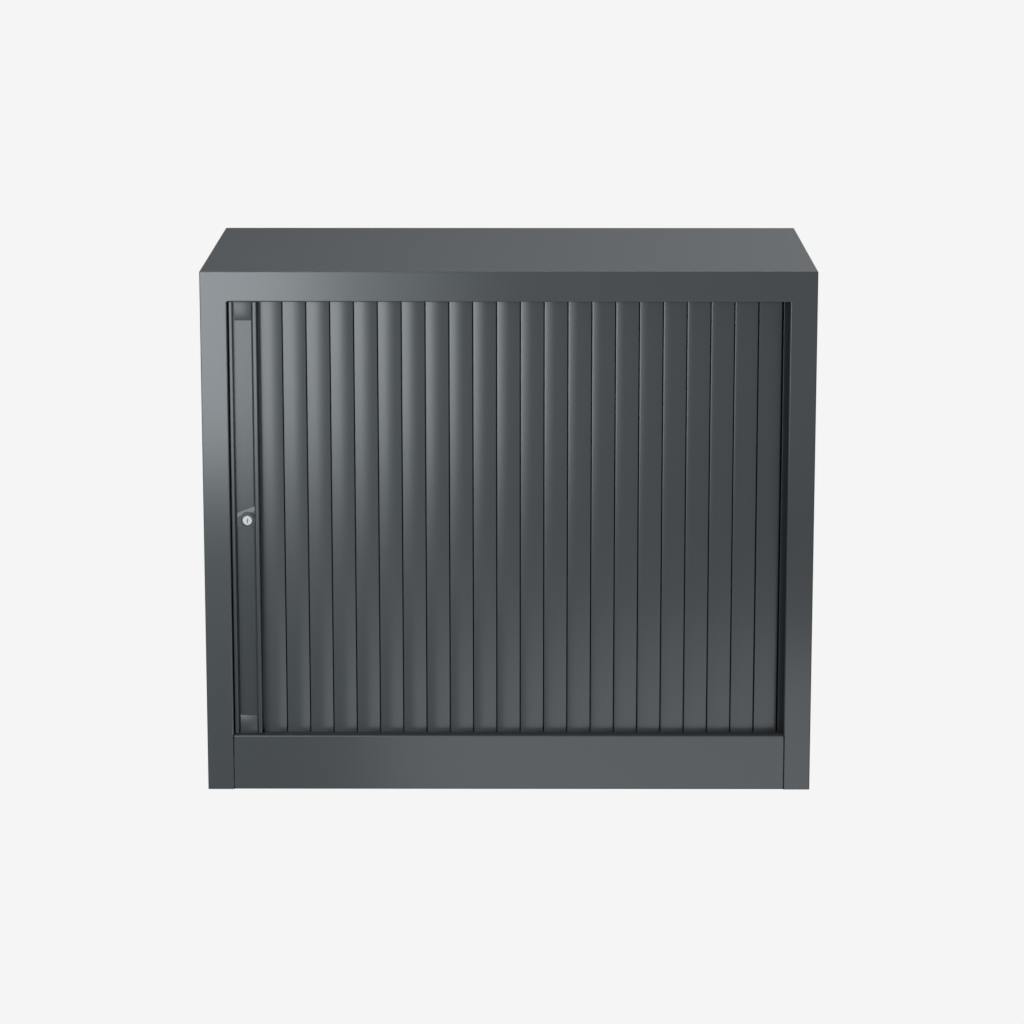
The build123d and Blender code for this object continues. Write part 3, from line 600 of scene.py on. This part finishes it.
# ---- Foot studs ---------------------------------------------------------------------------
# M10 studs with rolled threads of 1.5 mm pitch, zinc plated steel, pale on the crests and dark
# in the roots. A screwdriver turns them through the adjuster holes in the base.
THREAD_PITCH = 0.0015
THREAD_ROOT = 0.00408
THREAD_DEPTH = 0.00086
THREAD_FLAT = 0.0002
THREAD_STEPS = 24
THREAD_START = -0.0010
THREAD_TURNS = 52
STUD_ENDS = (0.0020, 0.0735)
FOOT_PLACE = (0.345, 0.155)

rolled_thread, wires, place, shader = new_finish("rolled_zinc_thread")
x, y, _ = axes_of(place)
across = abs(x) - FOOT_PLACE[0]
along = abs(y) - FOOT_PLACE[1]
reach = (across * across + along * along) ** 0.5
crest = wires.add(
    "MapRange", {},
    {"Value": reach, "From Min": THREAD_ROOT, "From Max": THREAD_ROOT + THREAD_DEPTH},
)
shade = blend_of(crest, (0.10, 0.10, 0.10, 1.0), (0.60, 0.61, 0.62, 1.0))
give_looks(wires, shader, Base_Color=shade, Metallic=1.0, Roughness=0.42 - crest * 0.14)

# One thread's outline, drawn from a single point at the root, and wound up the stud.
bpy.ops.object.select_all(action="DESELECT")
bpy.ops.mesh.primitive_plane_add(size=0.001, location=(THREAD_ROOT, 0.0, THREAD_START))
stud = bpy.context.object
bpy.ops.object.transform_apply(location=True, rotation=True, scale=True)
edit(stud)
bpy.ops.mesh.merge(type="CENTER")
flank = THREAD_PITCH / 2 - 1.5 * THREAD_FLAT
for out, up in (
    (0.0, THREAD_FLAT), (THREAD_DEPTH, flank), (0.0, THREAD_FLAT), (-THREAD_DEPTH, flank),
    (0.0, THREAD_FLAT),
):
    bpy.ops.mesh.extrude_vertices_move(TRANSFORM_OT_translate={"value": (out, 0.0, up)})
done()
screw = stud.modifiers.new("thread", "SCREW")
screw.axis = "Z"
screw.angle = 2 * math.pi
screw.screw_offset = THREAD_PITCH
screw.iterations = THREAD_TURNS
screw.steps = screw.render_steps = THREAD_STEPS
bpy.ops.object.modifier_apply(modifier="thread")
edit(stud)
bpy.ops.mesh.remove_doubles(threshold=HAIR)
for end, waste in zip(STUD_ENDS, ("clear_inner", "clear_outer")):
    bpy.ops.mesh.bisect(
        plane_co=(0.0, 0.0, end), plane_no=(0.0, 0.0, 1.0), use_fill=True, **{waste: True}
    )
    bpy.ops.mesh.select_all(action="SELECT")
bpy.ops.mesh.normals_make_consistent(inside=False)
done()

# It is cut to the chamfered and slotted blank.
blank = copy_of(nodes["foot_stud_rear_right"], "stud_blank")
edit(blank)
bpy.ops.mesh.remove_doubles(threshold=HAIR)
bpy.ops.transform.translate(value=(-FOOT_PLACE[0], -FOOT_PLACE[1], 0.0))
done()
bpy.ops.object.select_all(action="DESELECT")
stud.select_set(True)
bpy.context.view_layer.objects.active = stud
common = stud.modifiers.new("blank", "BOOLEAN")
common.operation = "INTERSECT"
common.solver = "EXACT"
common.object = blank
bpy.ops.object.modifier_apply(modifier="blank")
bpy.data.objects.remove(blank)
bpy.ops.object.shade_smooth_by_angle(angle=math.radians(30.0))
stud.data.materials.clear()
stud.data.materials.append(rolled_thread)
for name in sorted(nodes):
    if name.startswith("foot_stud"):
        low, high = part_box(name)
        foot = copy_of(stud, name.replace("foot_stud", "threaded_stud"))
        foot.location = ((low.x + high.x) / 2, (low.y + high.y) / 2, 0.0)
        bpy.ops.object.transform_apply(location=True, rotation=True, scale=True)
        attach(foot, name)
        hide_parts(name)
bpy.data.objects.remove(stud)
